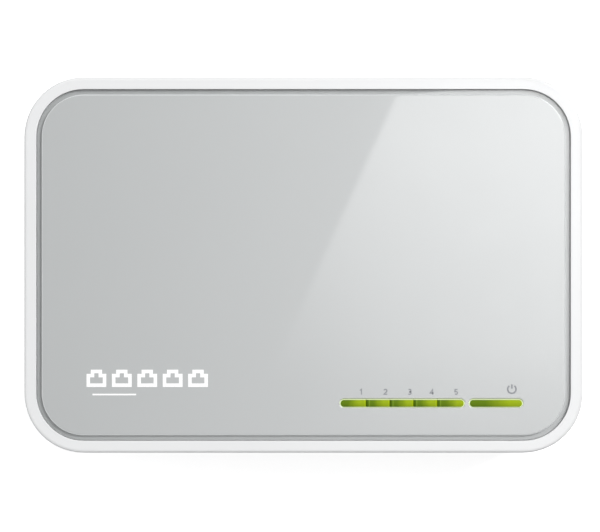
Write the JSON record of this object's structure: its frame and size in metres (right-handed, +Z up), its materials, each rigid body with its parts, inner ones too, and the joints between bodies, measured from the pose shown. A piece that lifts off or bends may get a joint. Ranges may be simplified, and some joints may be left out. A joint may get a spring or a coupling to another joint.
{
  "type": "desktop network switch",
  "caption": "Small desktop network switch: white two-part case, inset grey top panel, green lights along the front edge, network sockets and power socket in the rear wall.",
  "frame": {"origin": "centre of the footprint, on the surface that the feet stand on", "axes": "+X along the width, towards the power socket and power light; +Y towards the rear wall with the sockets; +Z up"},
  "size_m": [0.1036, 0.0696, 0.022],
  "materials": {
    "case_white": "glossy moulded white",
    "panel_grey": "polished light grey",
    "lens_green": "translucent yellow-green",
    "holder_black": "dark moulded",
    "foot_rubber": "matte dark grey",
    "screw_steel": "zinc-plated",
    "label_grey": "blank satin film",
    "board_green": "green solder mask",
    "socket_black": "black moulded",
    "contact_gold": "gold-plated",
    "tin_plate": "tin-plated",
    "chip_black": "moulded epoxy",
    "can_metal": "drawn metal can",
    "ferrite_grey": "sintered ferrite",
    "led_emitter": "clear resin over a pale base",
    "print_white": "printed ink",
    "print_grey": "printed ink"
  },
  "bodies": {
    "body": {"board_screw_left": "screw_steel", "board_screw_right": "screw_steel", "case_screw_left": "screw_steel", "case_screw_right": "screw_steel", "circuit_board": "board_green", "crystal": "can_metal", "input_capacitor": "can_metal", "input_diode": "chip_black", "light_pipe_holder": "holder_black", "lower_case": "case_white", "output_capacitor": "can_metal", "port_1_carrier": "socket_black", "port_1_led": "led_emitter", "port_1_light_pipe": "lens_green", "port_1_wire_runs": "contact_gold", "port_2_carrier": "socket_black", "port_2_led": "led_emitter", "port_2_light_pipe": "lens_green", "port_2_wire_runs": "contact_gold", "port_3_carrier": "socket_black", "port_3_led": "led_emitter", "port_3_light_pipe": "lens_green", "port_3_wire_runs": "contact_gold", "port_4_carrier": "socket_black", "port_4_led": "led_emitter", "port_4_light_pipe": "lens_green", "port_4_wire_runs": "contact_gold", "port_5_carrier": "socket_black", "port_5_led": "led_emitter", "port_5_light_pipe": "lens_green", "port_5_wire_runs": "contact_gold", "port_housing": "socket_black", "power_inductor": "ferrite_grey", "power_led": "led_emitter", "power_light_pipe": "lens_green", "power_socket_body": "socket_black", "power_socket_pin": "tin_plate", "power_socket_terminal": "tin_plate", "rating_label": "label_grey", "regulator": "chip_black", "rubber_foot_front_left": "foot_rubber", "rubber_foot_front_right": "foot_rubber", "rubber_foot_rear_left": "foot_rubber", "rubber_foot_rear_right": "foot_rubber", "switch_chip": "chip_black", "top_panel": "panel_grey", "transformer_1": "chip_black", "transformer_2": "chip_black", "transformer_3": "chip_black", "transformer_4": "chip_black", "transformer_5": "chip_black", "upper_case": "case_white"},
    "port_1_contacts": {"port_1_contacts": "contact_gold"},
    "port_2_contacts": {"port_2_contacts": "contact_gold"},
    "port_3_contacts": {"port_3_contacts": "contact_gold"},
    "port_4_contacts": {"port_4_contacts": "contact_gold"},
    "port_5_contacts": {"port_5_contacts": "contact_gold"},
    "power_socket_leaf": {"power_socket_leaf": "tin_plate"}
  },
  "joints": [
    {"name": "port_1_contacts_flex", "type": "hinge", "parent": "body", "child": "port_1_contacts", "pos_m": [-0.03322, 0.0328, 0.0174], "axis": [-1, 0, 0], "range_deg": [0, 8], "stiffness_Nm_per_rad": 0.3},
    {"name": "port_2_contacts_flex", "type": "hinge", "parent": "body", "child": "port_2_contacts", "pos_m": [-0.01925, 0.0328, 0.0174], "axis": [-1, 0, 0], "range_deg": [0, 8], "stiffness_Nm_per_rad": 0.3},
    {"name": "port_3_contacts_flex", "type": "hinge", "parent": "body", "child": "port_3_contacts", "pos_m": [-0.00528, 0.0328, 0.0174], "axis": [-1, 0, 0], "range_deg": [0, 8], "stiffness_Nm_per_rad": 0.3},
    {"name": "port_4_contacts_flex", "type": "hinge", "parent": "body", "child": "port_4_contacts", "pos_m": [0.00869, 0.0328, 0.0174], "axis": [-1, 0, 0], "range_deg": [0, 8], "stiffness_Nm_per_rad": 0.3},
    {"name": "port_5_contacts_flex", "type": "hinge", "parent": "body", "child": "port_5_contacts", "pos_m": [0.02267, 0.0328, 0.0174], "axis": [-1, 0, 0], "range_deg": [0, 8], "stiffness_Nm_per_rad": 0.3},
    {"name": "power_socket_leaf_flex", "type": "hinge", "parent": "body", "child": "power_socket_leaf", "pos_m": [0.0357, 0.0255, 0.0082], "axis": [-1, 0, 0], "range_deg": [0, 5], "stiffness_Nm_per_rad": 0.3}
  ]
}
